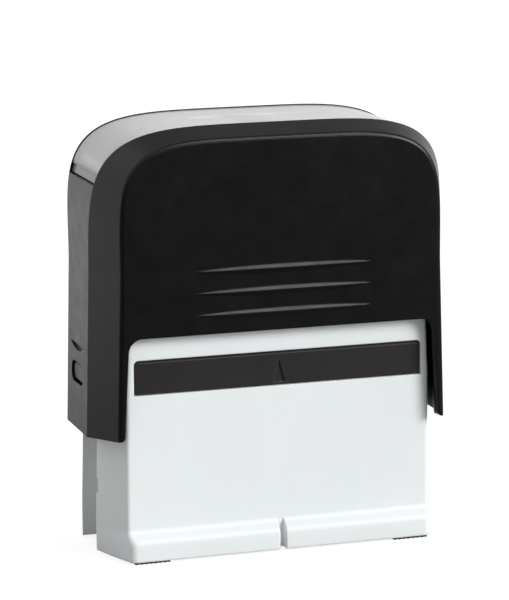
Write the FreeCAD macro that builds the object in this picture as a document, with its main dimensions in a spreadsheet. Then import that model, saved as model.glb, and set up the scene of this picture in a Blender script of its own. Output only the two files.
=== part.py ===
import FreeCAD, Part
import math
import os
import Sketcher
from FreeCAD import Placement, Rotation, Vector

# A self-inking text stamp. The cap slides down over the base, and as it does the rotor turns
# the rubber text plate from the ink pad above it to the paper below.
# Frame: +Z up, +X to the right, -Y towards the front, origin on the paper under the middle.

DIMENSIONS = [
    # the movement
    ("stroke", 24.5, "travel of the cap from rest to print"),
    ("axle_rest", 29.7, "height of the rotor's axle at rest"),
    ("cam_crank", 4.0, "distance of the follower pins from the axle"),
    ("follower_radius", 0.9, "radius of a follower pin"),
    ("cam_half_width", 1.0, "half the width of the cam groove"),
    ("cam_depth", 1.0, "depth of the cam groove"),
    ("axle_radius", 1.9, "radius of an axle pin"),
    ("axle_fit", 0.05, "radial clearance of an axle pin in the yoke"),
    # base
    ("foot_height", 0.5, "thickness of the non-slip feet"),
    ("foot_length", 7.6, "length of a foot along the front edge"),
    ("foot_width", 1.6, "width of a foot"),
    ("foot_end_gap", 1.0, "end of the plinth to a foot"),
    ("foot_face_gap", 0.3, "face of the plinth to a foot"),
    ("panel_half_width", 33.0, "half the width of the front panel"),
    ("panel_half_depth", 16.0, "middle plane to the front panel"),
    ("base_top", 48.8, "top of the base's walls"),
    ("bulge_half_width", 36.6, "half the width over the side bulges"),
    ("waist_level", 35.0, "height up to which the base tapers slightly"),
    ("waist_half_width", 32.8, "half the width of the panel at the waist"),
    ("waist_bulge", 35.8, "half the width over the bulges at the waist"),
    ("top_half_width", 32.2, "half the width of the panel at the base's top"),
    ("top_bulge", 34.6, "half the width over the bulges at the base's top"),
    ("bulge_half_depth", 6.0, "middle plane to the widest part of a bulge"),
    ("bulge_radius", 80.0, "radius of a bulge in plan"),
    ("plinth_half_depth", 18.3, "middle plane to the plinth's face"),
    ("plinth_half_width", 32.9, "half the width of the plinth's face"),
    ("plinth_height", 3.6, "top of the plinth's upright face"),
    ("shoulder_height", 6.9, "where the plinth's shoulder meets the panel"),
    ("base_corner", 0.9, "corner radius of the panels in plan"),
    ("plinth_corner", 1.7, "corner radius of the plinth in plan"),
    ("notch_width", 1.4, "width of the centring notch"),
    ("base_wall", 1.8, "wall of the front and back panels"),
    ("side_inner", 31.5, "middle plane to the inside of the side walls"),
    ("side_outer", 33.1, "middle plane to the floor of the side channels"),
    ("channel_half", 5.5, "half the width of a side channel"),
    ("catch_low", 12.6, "lower end of the catch in a channel's front edge"),
    ("catch_high", 15.8, "upper end of that catch"),
    ("catch_depth", 0.7, "depth of that catch"),
    ("slot_half", 2.3, "half the width of the axle slots"),
    ("ceiling", 42.3, "underside of the deck over the ink tray"),
    ("deck_top", 44.3, "top of the deck, where the spring stands"),
    ("window_low", 34.8, "lower edge of the tray window"),
    ("window_high", 42.1, "upper edge of the tray window"),
    ("window_half", 31.0, "half the width of the tray window"),
    ("window_corner", 1.0, "upper corner radius of the tray window"),
    ("rail_width", 1.5, "width of the rails under the tray"),
    ("rail_height", 1.55, "height of the rails under the tray"),
    ("rail_gap_half", 6.0, "half the gap in a rail for the rotor's end disc"),
    ("rail_fit", 0.1, "gap between the rails and the tray"),
    # ink tray
    ("tray_half_width", 30.8, "half the width of the tray"),
    ("tray_half_depth", 15.8, "half the depth of the tray"),
    ("tray_low", 35.15, "lower rim of the tray"),
    ("tray_high", 41.9, "top of the tray"),
    ("tray_wall", 1.2, "wall of the tray"),
    ("tray_roof", 1.7, "roof thickness of the tray"),
    ("tray_corner", 0.7, "upper corner radius of the tray"),
    ("tray_chamfer", 0.45, "chamfer round the tray's front and back"),
    ("arrow_half_base", 1.3, "half the base of the pull arrow"),
    ("arrow_low", 35.5, "foot of the pull arrow"),
    ("arrow_high", 40.2, "tip of the pull arrow"),
    ("arrow_depth", 0.35, "depth of the pull arrow"),
    ("pad_face", 36.05, "inking face of the pad at rest"),
    ("pad_cloth", 0.5, "thickness of the pad's cloth"),
    ("pad_gap", 0.1, "gap round the pad inside the tray"),
    # rotor
    ("die_half_length", 29.5, "half the length of the text plate"),
    ("die_half_depth", 11.5, "half the depth of the text plate"),
    ("die_face", 5.2, "axle to the printing face"),
    ("relief_height", 0.7, "height of the raised print"),
    ("plate_web", 0.6, "thickness of the text plate under the print"),
    ("print_margin", 1.0, "edge of the text plate to the raised frame"),
    ("print_line", 0.8, "width of the raised frame's lines"),
    ("bar_pitch", 4.2, "distance between the bars that stand for lines of text"),
    ("bar_height", 2.0, "height of such a bar"),
    ("cushion_height", 1.15, "thickness of the foam cushion"),
    ("film_height", 0.15, "thickness of the adhesive film"),
    ("carrier_half_length", 29.7, "half the length of the carrier plate"),
    ("carrier_half_depth", 12.0, "half the depth of the carrier plate"),
    ("carrier_height", 1.7, "thickness of the carrier plate"),
    ("rotor_half_length", 31.2, "half the length over the end discs"),
    ("disc_radius", 4.95, "radius of the end discs"),
    ("hub_radius", 3.3, "radius of the hubs behind the end discs"),
    ("hub_length", 3.2, "length of a hub"),
    ("rib_height", 3.0, "height of the ribs under the carrier plate"),
    ("rib_thickness", 1.2, "thickness of the ribs"),
    ("rib_pitch", 14.0, "distance between the cross ribs"),
    ("cross_rib_half", 9.0, "half the length of a cross rib"),
    ("long_rib_offset", 6.0, "axle to a long rib"),
    ("follower_fit", 0.15, "gap between a follower pin and the floor of its groove"),
    # yoke
    ("arm_inner", 33.5, "middle plane to the inside of an arm"),
    ("arm_outer", 35.6, "middle plane to the outside of an arm"),
    ("arm_half_width", 5.2, "half the width of the yoke"),
    ("arm_low", 25.2, "lower end of the arms"),
    ("arm_bend", 68.0, "height where the arms bend inwards"),
    ("bar_low", 80.0, "underside of the crossbar"),
    ("bar_high", 82.4, "top of the crossbar"),
    ("spigot_radius", 4.2, "radius of the two spring spigots"),
    ("spigot_upper", 5.0, "length of the spigot on the crossbar"),
    ("spigot_lower", 4.0, "height of the spigot on the deck"),
    ("boss_offset", 14.0, "middle plane to the cap's bosses"),
    ("boss_radius", 3.4, "radius of the cap's bosses"),
    ("boss_bite", 0.3, "how far the bosses reach into the crown"),
    ("stake_radius", 1.6, "radius of the stakes that hold the crossbar"),
    # spring
    ("spring_radius", 6.0, "mean radius of the main spring"),
    ("wire_radius", 0.6, "radius of the spring wire"),
    ("spring_turns", 7.0, "turns of the main spring"),
    ("spring_coil_gap", 0.05, "gap between the closed coils at each end"),
    # axle pins
    ("pin_inner", 27.2, "middle plane to the inner end of an axle pin"),
    ("pin_head_radius", 3.0, "radius of an axle pin's head"),
    ("pin_head_start", 35.7, "middle plane to the underside of the head"),
    ("pin_head_end", 36.4, "middle plane to the top of the head"),
    # cap
    ("cap_half_depth", 19.0, "middle plane to the cap's front face"),
    ("cap_low", 25.2, "lower end of the cap's legs"),
    ("shoulder_level", 60.0, "height where the crown starts"),
    ("ridge_half_low", 38.9, "half the cap's width at the lower end"),
    ("ridge_half_high", 37.95, "half the cap's width at the shoulder level"),
    ("ridge_crown", 28.85, "height of the crown above the shoulder level"),
    ("ridge_power", 4.45, "exponent of the crown's superellipse"),
    ("ridge_depth_low", 8.0, "middle plane to the ridge below the shoulder level"),
    ("ridge_depth_high", 12.3, "middle plane to the ridge at the top"),
    ("ridge_flare", 1.8, "exponent with which the ridges part towards the top"),
    ("face_half_low", 35.0, "half the face's width at the lower end"),
    ("face_half_high", 34.0, "half the face's width at the shoulder level"),
    ("face_crown", 26.8, "height of the face's crown"),
    ("face_power", 4.95, "exponent of the face's superellipse"),
    ("face_round", 0.9, "radius round the front and back faces"),
    ("cap_wall", 1.8, "wall of the cap"),
    ("face_side_wall", 1.25, "how far the cavity's front outline lies inside the face's"),
    ("cavity_crown", 25.6, "height of the cavity's crown"),
    ("cavity_power", 3.6, "exponent of the cavity's crown"),
    ("cavity_face_crown", 25.2, "height of the cavity's crown behind a face"),
    ("cavity_face_power", 4.35, "exponent of the cavity's crown behind a face"),
    ("cutout_top", 47.2, "upper edge of the front cut-out"),
    ("cutout_half_high", 32.8, "half the cut-out's width at its upper edge"),
    ("cutout_half_low", 33.75, "half the cut-out's width near the legs' ends"),
    ("cutout_corner", 3.0, "upper corner radius of the cut-out"),
    ("leg_nose", 0.9, "radius at the inner lower corner of a leg"),
    ("leg_front_low", 26.25, "lower end of the legs at the faces"),
    ("nose_reach", 14.0, "middle plane to where a leg's lower corner stops being round"),
    ("grip_half", 19.45, "half the length of the grip ribs"),
    ("grip_rise", 0.9, "height of a grip rib over its crest"),
    ("grip_fall", 1.3, "height of a grip rib under its crest"),
    ("grip_out", 0.5, "how far a grip rib's crest stands out"),
    ("grip_root", 0.15, "how deep a grip rib is rooted in the face"),
    ("grip_low", 51.1, "height of the lowest crest"),
    ("grip_pitch", 4.5, "distance between the crests"),
    # index window and card
    ("index_low", 77.4, "lower ends of the index window"),
    ("index_recess", 2.0, "depth of the window's recess in the cap"),
    ("index_sink", 0.25, "depth of the window under the ridges"),
    ("index_thickness", 1.3, "thickness of the index window"),
    ("index_step", 0.35, "depth of the finger step at the window's ends"),
    ("index_step_height", 1.8, "height of the finger step"),
    ("card_thickness", 0.3, "thickness of the index card"),
    ("card_end_gap", 2.0, "end of the window to the end of the card"),
    ("seam", 0.15, "gap round the index window"),
    # lock buttons
    ("button_level", 36.9, "height of the lock buttons' middle"),
    ("button_half_width", 4.6, "half the width of a button's hole"),
    ("button_half_height", 2.2, "half the height of a button's hole"),
    ("button_gap", 0.25, "gap round a button"),
    ("button_corner", 1.9, "corner radius of a button"),
    ("button_face", 38.2, "middle plane to a button's face"),
    ("button_bevel", 0.4, "chamfer round a button's face"),
    ("button_flange_start", 35.95, "middle plane to the inside of the flange"),
    ("button_flange_end", 36.55, "middle plane to the outside of the flange"),
    ("button_flange_lip", 0.8, "how far the flange reaches past the hole"),
    ("bolt_half_width", 2.5, "half the width of a lock bolt"),
    ("bolt_half_height", 1.4, "half the height of a lock bolt"),
    ("bolt_end", 33.8, "middle plane to the tip of a lock bolt"),
    ("bolt_gap", 0.35, "gap round a lock bolt in the yoke and the base"),
    ("pocket_depth", 1.05, "depth of the flange pocket in a yoke arm"),
    ("pocket_fit", 0.6, "gap over and under the flange in its pocket"),
    ("finger_half", 5.6, "half the width of the finger recess over a button"),
    ("finger_high", 43.0, "flat upper edge of the finger recess"),
    ("finger_sag", 1.35, "height of the finger recess at its middle"),
    ("finger_depth", 1.0, "depth of the finger recess"),
]

# Lengths of the bars that stand for lines of text, as shares of the text plate's length.
BAR_SHARES = (0.55, 0.8, 0.8, 0.65)

GRIP_COUNT = 3  # grip ribs on the front, and as many on the back

# The plinth's shoulder as (share of its height, share of its step back to the panel): a round edge,
# a slope and a hollow at the panel.
SHOULDER_PROFILE = (
    (0.0, 0.0),
    (0.15, 0.02),
    (0.35, 0.16),
    (0.55, 0.5),
    (0.75, 0.84),
    (0.9, 0.98),
    (1.0, 1.0),
)

SLACK = 1.0  # how far cutting tools run past the faces that they cut
NEAR = 0.1  # how close a point counts as lying on a face
NUDGE = 0.01  # a small turn, in radians, to find a curve's direction
TINY = 1e-6  # differences under this count as none


class Size:
    """A number together with the sheet formula that gives it, so that objects can be bound to it."""

    def __init__(self, number, text):
        self.number = number
        self.text = text

    def __add__(self, other):
        return Size(self.number + number_of(other), f"({self.text} + {text_of(other)})")

    def __radd__(self, other):
        return Size(number_of(other) + self.number, f"({text_of(other)} + {self.text})")

    def __sub__(self, other):
        return Size(self.number - number_of(other), f"({self.text} - {text_of(other)})")

    def __rsub__(self, other):
        return Size(number_of(other) - self.number, f"({text_of(other)} - {self.text})")

    def __mul__(self, other):
        return Size(self.number * number_of(other), f"({self.text} * {text_of(other)})")

    __rmul__ = __mul__

    def __neg__(self):
        return Size(-self.number, f"(-1 * {self.text})")


def number_of(size):
    return size.number if isinstance(size, Size) else float(size)


def text_of(size):
    return size.text if isinstance(size, Size) else repr(float(size))


document = FreeCAD.newDocument("self_inking_stamp")
dims = document.addObject("Spreadsheet::Sheet", "dims")
SIZES = {}
for row, (alias, value, note) in enumerate(DIMENSIONS, start=1):
    dims.set(f"A{row}", note)
    dims.set(f"B{row}", str(value))
    dims.setAlias(f"B{row}", alias)
    SIZES[alias] = Size(float(value), f"dims.{alias}")
document.recompute()


def size(alias):
    """A driving dimension that an object can be bound to."""
    return SIZES[alias]


def read(alias):
    """A driving dimension as the sheet holds it, for shapes made from a formula."""
    return float(getattr(dims, alias))


def bind(target, path, amount):
    """Tie a property of an object to the sheet."""
    target.setExpression(path, text_of(amount))


# ---------------------------------------------------------------- sketches and features


def new_body(label):
    body = document.addObject("PartDesign::Body", label)
    body.Label = label
    return body


def new_sketch(body, role, name, offset=0):
    """A sketch on one of the body's origin planes, moved along that plane's normal."""
    planes = [feature for feature in body.Origin.OriginFeatures if feature.Role == role]
    sketch = body.newObject("Sketcher::SketchObject", name)
    sketch.AttachmentSupport = [(planes[0], "")]
    sketch.MapMode = "FlatFace"
    bind(sketch, "AttachmentOffset.Base.z", offset)
    return sketch


def constrain(sketch, kind, *where, amount=None):
    if amount is None:
        return sketch.addConstraint(Sketcher.Constraint(kind, *where))
    number = sketch.addConstraint(Sketcher.Constraint(kind, *where, number_of(amount)))
    if isinstance(amount, Size):
        bind(sketch, f"Constraints[{number}]", amount)
    return number


def place_point(sketch, geometry, end, x, y):
    constrain(sketch, "DistanceX", -1, 1, geometry, end, amount=x)
    constrain(sketch, "DistanceY", -1, 1, geometry, end, amount=y)


def arc_middle(start, end, radius):
    """The middle of the arc between two points: to the right of the way for a positive radius."""
    chord = end - start
    right = Vector(chord.y, -chord.x, 0).normalize()
    sagitta = abs(radius) - math.sqrt(radius**2 - (chord.Length / 2) ** 2)
    return (start + end) * 0.5 + right * math.copysign(sagitta, radius)


def outline(sketch, corners):
    """A closed anticlockwise outline. A corner is (x, y), or (x, y, radius) where the stretch that
    follows is an arc, bulging outwards for a positive radius and inwards for a negative one."""
    points = [Vector(number_of(c[0]), number_of(c[1]), 0) for c in corners]
    first = sketch.GeometryCount
    count = len(corners)
    ends = []
    for index, corner in enumerate(corners):
        start = points[index]
        end = points[(index + 1) % count]
        if len(corner) == 2:
            sketch.addGeometry(Part.LineSegment(start, end), False)
            ends.append((1, 2))
            continue
        middle = arc_middle(start, end, number_of(corner[2]))
        sketch.addGeometry(Part.Arc(start, middle, end), False)
        ends.append((1, 2) if number_of(corner[2]) > 0 else (2, 1))
    for index, corner in enumerate(corners):
        following = (index + 1) % count
        constrain(
            sketch, "Coincident", first + index, ends[index][1], first + following, ends[following][0]
        )
        place_point(sketch, first + index, ends[index][0], corner[0], corner[1])
        if len(corner) == 3:
            radius = corner[2] if number_of(corner[2]) > 0 else -corner[2]
            constrain(sketch, "Radius", first + index, amount=radius)


def rectangle(sketch, low_x, high_x, low_y, high_y):
    outline(sketch, [(low_x, low_y), (high_x, low_y), (high_x, high_y), (low_x, high_y)])


def pad(body, sketch, length, name, both_ways=False):
    """Add material along the sketch's normal."""
    feature = body.newObject("PartDesign::Pad", name)
    feature.Profile = sketch
    feature.Midplane = both_ways
    bind(feature, "Length", length)
    document.recompute()
    return feature


def pocket(body, sketch, length, name, flipped=False):
    """Remove material against the sketch's normal, or along it if flipped."""
    before = body.Shape.Volume
    feature = body.newObject("PartDesign::Pocket", name)
    feature.Profile = sketch
    feature.Reversed = flipped
    bind(feature, "Length", length)
    document.recompute()
    if body.Shape.Volume >= before - TINY:
        raise ValueError(f"{name} removes nothing")
    return feature


def round_edges(body, feature, radius, wanted, name, kind="Fillet"):
    """Fillet or chamfer the edges whose middle the test picks."""
    edges = []
    for number, edge in enumerate(feature.Shape.Edges, start=1):
        middle = edge.valueAt((edge.FirstParameter + edge.LastParameter) / 2)
        if wanted(edge, middle):
            edges.append(f"Edge{number}")
    if not edges:
        raise ValueError(f"{name} finds no edge")
    dressing = body.newObject(f"PartDesign::{kind}", name)
    dressing.Base = (feature, edges)
    bind(dressing, "Radius" if kind == "Fillet" else "Size", radius)
    document.recompute()
    return dressing


def is_line_along(edge, axis):
    if edge.Curve.TypeId != "Part::GeomLine":
        return False
    return abs(abs(edge.Curve.Direction.dot(axis)) - 1) < TINY


# ---------------------------------------------------------------- primitives and booleans


def block(name, low_x, high_x, low_y, high_y, low_z, high_z):
    """A box between two corners."""
    solid = document.addObject("Part::Box", name)
    for length, low, high in (
        ("Length", low_x, high_x),
        ("Width", low_y, high_y),
        ("Height", low_z, high_z),
    ):
        bind(solid, length, high - low)
    for letter, low in zip("xyz", (low_x, low_y, low_z)):
        bind(solid, f"Placement.Base.{letter}", low)
    return solid


def side_block(name, side, near, far, low_y, high_y, low_z, high_z):
    """A box on the left (side -1) or the right (side 1), between two distances from the middle."""
    if side > 0:
        return block(name, near, far, low_y, high_y, low_z, high_z)
    return block(name, -far, -near, low_y, high_y, low_z, high_z)


def post(name, radius, low, high, x=0):
    """An upright cylinder between two heights, on the middle plane at x."""
    solid = document.addObject("Part::Cylinder", name)
    bind(solid, "Radius", radius)
    bind(solid, "Height", high - low)
    bind(solid, "Placement.Base.x", x)
    bind(solid, "Placement.Base.z", low)
    return solid


def side_rod(name, side, radius, near, far, level):
    """A level cylinder on the left (side -1) or the right (side 1), between two distances from the
    middle, with its axis at the height called level."""
    solid = document.addObject("Part::Cylinder", name)
    solid.Placement = Placement(Vector(), Rotation(Vector(0, 1, 0), 90))
    bind(solid, "Radius", radius)
    bind(solid, "Height", far - near)
    bind(solid, "Placement.Base.x", near if side > 0 else -far)
    bind(solid, "Placement.Base.z", level)
    return solid


def fused(name, solids):
    whole = document.addObject("Part::MultiFuse", name)
    whole.Shapes = solids
    whole.Refine = True
    return whole


def cut(name, base, tools):
    """The base without the tools, as the sub-part called name."""
    tool = tools[0] if len(tools) == 1 else fused(name + "_tools", tools)
    result = document.addObject("Part::Cut", name)
    result.Base = base
    result.Tool = tool
    result.Label = name
    document.recompute()
    return result


def formed(name, shape):
    """A shape made from a formula, as an object of the document."""
    feature = document.addObject("Part::Feature", name)
    feature.Shape = shape
    feature.Placement = Placement()
    return feature


# ---------------------------------------------------------------- base


def base_ring(half_width, half_depth, side, corner):
    """The base in plan: flat front and back, rounded corners, bulged sides."""
    flat = size("bulge_half_depth")
    curve = size("bulge_radius")
    return [
        (-half_width + corner, -half_depth),
        (half_width - corner, -half_depth, corner),
        (half_width, -half_depth + corner, curve),
        (side, -flat),
        (side, flat, curve),
        (half_width, half_depth - corner, corner),
        (half_width - corner, half_depth),
        (-half_width + corner, half_depth, corner),
        (-half_width, half_depth - corner, curve),
        (-side, flat),
        (-side, -flat, curve),
        (-half_width, -half_depth + corner, corner),
    ]


def base_loft(body, name, sections, ruled):
    """A loft up through rings of the base: (height, half width, half depth, side, corner) each."""
    sketches = []
    for number, (level, *ring) in enumerate(sections):
        sketch = new_sketch(body, "XY_Plane", f"{name}_{number}", level)
        outline(sketch, base_ring(*ring))
        sketches.append(sketch)
    loft = body.newObject("PartDesign::AdditiveLoft", name)
    loft.Profile = sketches[0]
    loft.Sections = sketches[1:]
    loft.Ruled = ruled
    document.recompute()


def base_form():
    """The outside of the base: tapered panels and bulges on a plinth with a soft shoulder."""
    body = new_body("base_form")
    foot = size("foot_height")
    side = size("bulge_half_width")
    panel_deep = size("panel_half_depth")
    corner = size("base_corner")
    plinth = new_sketch(body, "XY_Plane", "plinth_outline", foot)
    ring = (size("plinth_half_width"), size("plinth_half_depth"), side, size("plinth_corner"))
    outline(plinth, base_ring(*ring))
    pad(body, plinth, size("plinth_height") - foot, "plinth_pull")
    shoulder = []
    for climb, share in SHOULDER_PROFILE:
        level = size("plinth_height") + (size("shoulder_height") - size("plinth_height")) * climb
        wide = size("plinth_half_width") * (1 - share) + size("panel_half_width") * share
        deep = size("plinth_half_depth") * (1 - share) + panel_deep * share
        round_off = size("plinth_corner") * (1 - share) + corner * share
        shoulder.append((level, wide, deep, side, round_off))
    base_loft(body, "shoulder", shoulder, ruled=False)
    walls = [
        (size("shoulder_height"), size("panel_half_width"), panel_deep, side, corner),
        (size("waist_level"), size("waist_half_width"), panel_deep, size("waist_bulge"), corner),
        (size("base_top"), size("top_half_width"), panel_deep, size("top_bulge"), corner),
    ]
    base_loft(body, "walls", walls, ruled=True)
    return body


def cam_point(angle):
    """Where a follower pin stands, as (y, z), when the rotor has turned by the angle."""
    crank = read("cam_crank")
    drop = read("stroke") * angle / math.pi
    return Vector(0, -crank * math.sin(angle), read("axle_rest") - drop + crank * math.cos(angle))


def cam_tool(side):
    """The cutter for a cam groove: a slot round the follower pin's path, with round ends."""
    steps = 16
    half = read("cam_half_width")
    angles = [math.pi * step / steps for step in range(steps + 1)]
    left = []
    right = []
    for angle in angles:
        ahead = cam_point(angle + NUDGE) - cam_point(angle - NUDGE)
        across = Vector(0, -ahead.z, ahead.y).normalize() * half
        left.append(cam_point(angle) + across)
        right.append(cam_point(angle) - across)
    first_way = (cam_point(NUDGE) - cam_point(-NUDGE)).normalize()
    last_way = (cam_point(math.pi + NUDGE) - cam_point(math.pi - NUDGE)).normalize()
    first_end = cam_point(0) - first_way * half
    last_end = cam_point(math.pi) + last_way * half
    edges = []
    for points in (left, right):
        curve = Part.BSplineCurve()
        curve.interpolate(points)
        edges.append(curve.toShape())
    edges.append(Part.Arc(left[0], first_end, right[0]).toShape())
    edges.append(Part.Arc(left[-1], last_end, right[-1]).toShape())
    face = Part.Face(Part.Wire(Part.__sortEdges__(edges)))
    depth = read("cam_depth") + SLACK
    face.translate(Vector(side * (read("side_inner") - SLACK), 0, 0))
    return formed("cam_tool", face.extrude(Vector(side * depth, 0, 0)))


def base_openings():
    """Everything that is cut out of the base."""
    inside_y = size("panel_half_depth") - size("base_wall")
    inner = size("side_inner")
    foot = size("foot_height")
    top = size("base_top") + SLACK
    tools = [
        block("chamber", -inner, inner, -inside_y, inside_y, foot - SLACK, size("ceiling")),
        block("well", -inner, inner, -inside_y, inside_y, size("deck_top"), top),
        tray_window(),
    ]
    notch = size("notch_width") * 0.5
    deep = size("plinth_half_depth")
    panel = size("panel_half_depth")
    notch_top = size("shoulder_height") + SLACK
    for low_y, high_y in ((-deep - SLACK, -panel), (panel, deep + SLACK)):
        tools.append(block("notch", -notch, notch, low_y, high_y, foot - SLACK, notch_top))
    channel = size("channel_half")
    slot = size("slot_half")
    wall_out = size("side_outer")
    far = size("bulge_half_width") + SLACK
    level = size("button_level")
    bolt_y = size("bolt_half_width") + size("bolt_gap")
    bolt_z = size("bolt_half_height") + size("bolt_gap")
    catch_y = (-channel - size("catch_depth"), -channel + SLACK)
    catch_z = (size("catch_low"), size("catch_high"))
    near = inner - SLACK
    for side in (-1, 1):
        tools += [
            side_block("channel", side, wall_out, far, -channel, channel, foot - SLACK, top),
            side_block("catch", side, wall_out, far, *catch_y, *catch_z),
            side_block("yoke_notch", side, near, far, -channel, channel, size("deck_top"), top),
            side_block("axle_slot", side, near, far, -slot, slot, foot - SLACK, size("axle_rest")),
            side_block("bolt_hole", side, near, far, -bolt_y, bolt_y, level - bolt_z, level + bolt_z),
            side_rod("slot_end", side, slot, near, far, size("axle_rest")),
            cam_tool(side),
        ]
    return tools


def tray_window():
    """The opening for the ink tray, right through the front and back panels."""
    body = new_body("tray_window")
    sketch = new_sketch(body, "XZ_Plane", "window_outline")
    half = size("window_half")
    corner = size("window_corner")
    high = size("window_high")
    outline(
        sketch,
        [
            (-half, size("window_low")),
            (half, size("window_low")),
            (half, high - corner, corner),
            (half - corner, high),
            (-half + corner, high, corner),
            (-half, high - corner),
        ],
    )
    pad(body, sketch, 2 * size("plinth_half_depth"), "window_pull", both_ways=True)
    return body


def base_housing():
    """The white base: chamber for the rotor, window for the ink tray, deck for the spring."""
    inside_y = size("panel_half_depth") - size("base_wall")
    inner = size("side_inner")
    rail_in = inner - size("rail_width")
    rail_top = size("tray_low") - size("rail_fit")
    rail_low = rail_top - size("rail_height")
    hollow = cut("base_hollow", base_form(), base_openings())
    additions = [hollow]
    gap = size("rail_gap_half")
    for side in (-1, 1):
        for low_y, high_y in ((-inside_y, -gap), (gap, inside_y)):
            additions.append(side_block("rail", side, rail_in, inner, low_y, high_y, rail_low, rail_top))
    deck = size("deck_top")
    additions.append(post("deck_spigot", size("spigot_radius"), deck, deck + size("spigot_lower")))
    housing = fused("base_housing", additions)
    housing.Label = "base_housing"
    return housing


def foot_pad(label, side, end):
    """A thin non-slip strip under one corner of the plinth."""
    far = size("plinth_half_width") - size("foot_end_gap")
    near = far - size("foot_length")
    outer = size("plinth_half_depth") - size("foot_face_gap")
    inner = outer - size("foot_width")
    low_y, high_y = (-outer, -inner) if end == "front" else (inner, outer)
    foot = side_block(label, side, near, far, low_y, high_y, 0, size("foot_height"))
    foot.Label = label
    return foot


# ---------------------------------------------------------------- ink tray


def ink_tray():
    """The drawer that holds the ink pad face down, with a pull arrow at each end."""
    body = new_body("ink_tray")
    wide = size("tray_half_width")
    deep = size("tray_half_depth")
    wall = size("tray_wall")
    top = size("tray_high")
    plan = new_sketch(body, "XY_Plane", "tray_outline", size("tray_low"))
    rectangle(plan, -wide, wide, -deep, deep)
    block_feature = pad(body, plan, top - size("tray_low"), "tray_pull")

    def is_upper_corner(edge, middle):
        return is_line_along(edge, Vector(0, 1, 0)) and middle.z > read("tray_high") - NEAR

    def is_end_rim(edge, middle):
        at_end = abs(abs(middle.y) - read("tray_half_depth")) < NEAR
        return at_end and middle.z > read("tray_low") + NEAR

    corners = round_edges(body, block_feature, size("tray_corner"), is_upper_corner, "tray_corners")
    round_edges(body, corners, size("tray_chamfer"), is_end_rim, "tray_chamfers", kind="Chamfer")
    hollow = new_sketch(body, "XY_Plane", "pad_recess", size("tray_low"))
    rectangle(hollow, -wide + wall, wide - wall, -deep + wall, deep - wall)
    pocket(body, hollow, top - size("tray_low") - size("tray_roof"), "pad_pocket", flipped=True)
    for end, flipped in ((-deep, False), (deep, True)):
        arrow = new_sketch(body, "XZ_Plane", "pull_arrow", -end)
        outline(
            arrow,
            [
                (-size("arrow_half_base"), size("arrow_low")),
                (size("arrow_half_base"), size("arrow_low")),
                (0, size("arrow_high")),
            ],
        )
        pocket(body, arrow, size("arrow_depth"), "arrow_pocket", flipped=flipped)
    return body


def pad_outline(body, name, level):
    """The pad's plan, a little smaller than the tray's recess."""
    inset = size("tray_wall") + size("pad_gap")
    wide = size("tray_half_width") - inset
    deep = size("tray_half_depth") - inset
    sketch = new_sketch(body, "XY_Plane", name, level)
    rectangle(sketch, -wide, wide, -deep, deep)
    return sketch


def ink_pad():
    """The foam block that holds the ink."""
    body = new_body("ink_pad")
    low = size("pad_face") + size("pad_cloth")
    sketch = pad_outline(body, "pad_plan", low)
    pad(body, sketch, size("tray_high") - size("tray_roof") - low, "pad_pull")
    return body


def ink_pad_cover():
    """The cloth over the inking face of the foam."""
    body = new_body("ink_pad_cover")
    sketch = pad_outline(body, "cover_plan", size("pad_face"))
    pad(body, sketch, size("pad_cloth"), "cover_pull")
    return body


# ---------------------------------------------------------------- rotor


def carrier_top():
    """Height of the carrier plate's upper face over the axle."""
    stack = size("relief_height") + size("plate_web") + size("cushion_height") + size("film_height")
    return size("die_face") - stack


def rotor_carrier():
    """The turning plate under the rubber, with end discs, hubs, ribs and two follower pins."""
    axle = size("axle_rest")
    top = axle + carrier_top()
    under = top - size("carrier_height")
    long = size("carrier_half_length")
    deep = size("carrier_half_depth")
    pieces = [block("carrier_plate", -long, long, -deep, deep, under, top)]
    half = size("rib_thickness") * 0.5
    rib_low = under - size("rib_height")
    rib_end = size("cross_rib_half")
    hub_start = long - size("hub_length")
    for step in (-1, 0, 1):
        middle = step * size("rib_pitch")
        across = (middle - half, middle + half)
        pieces.append(block("cross_rib", *across, -rib_end, rib_end, rib_low, under))
    for end in (-1, 1):
        offset = end * size("long_rib_offset")
        across = (offset - half, offset + half)
        pieces.append(block("long_rib", -hub_start, hub_start, *across, rib_low, under))
    tools = [block("hub_flat", -long, long, -deep, deep, top, top + size("hub_radius"))]
    disc_end = size("rotor_half_length")
    pin_end = size("side_inner") + size("cam_depth") - size("follower_fit")
    pin_level = axle + size("cam_crank")
    for side in (-1, 1):
        pieces += [
            side_rod("end_disc", side, size("disc_radius"), long, disc_end, axle),
            side_rod("hub", side, size("hub_radius"), hub_start, long, axle),
            side_rod("follower_pin", side, size("follower_radius"), long, pin_end, pin_level),
        ]
        tools.append(
            side_rod("axle_hole", side, size("axle_radius"), size("pin_inner"), disc_end + SLACK, axle)
        )
    return cut("rotor_carrier", fused("carrier_form", pieces), tools)


def axle_pin(label, side):
    """A stepped pin: its shank is pressed into the rotor and turns in the yoke's arm."""
    body = new_body(label)
    profile = new_sketch(body, "XZ_Plane", "pin_profile")
    shank = size("axle_radius")
    head = size("pin_head_radius")
    inner = size("pin_inner")
    step = size("pin_head_start")
    outer = size("pin_head_end")
    axle = size("axle_rest")
    corners = [
        (inner, axle),
        (outer, axle),
        (outer, axle + head),
        (step, axle + head),
        (step, axle + shank),
        (inner, axle + shank),
    ]
    if side < 0:
        corners = [(-x, z) for x, z in reversed(corners)]
    outline(profile, corners)
    centre_line = Part.LineSegment(Vector(-1, axle.number, 0), Vector(1, axle.number, 0))
    line = profile.addGeometry(centre_line, True)
    place_point(profile, line, 1, -1, axle)
    place_point(profile, line, 2, 1, axle)
    turned = body.newObject("PartDesign::Revolution", "pin_turned")
    turned.Profile = profile
    turned.ReferenceAxis = (profile, ["Axis0"])
    turned.Angle = 360
    return body


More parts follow.
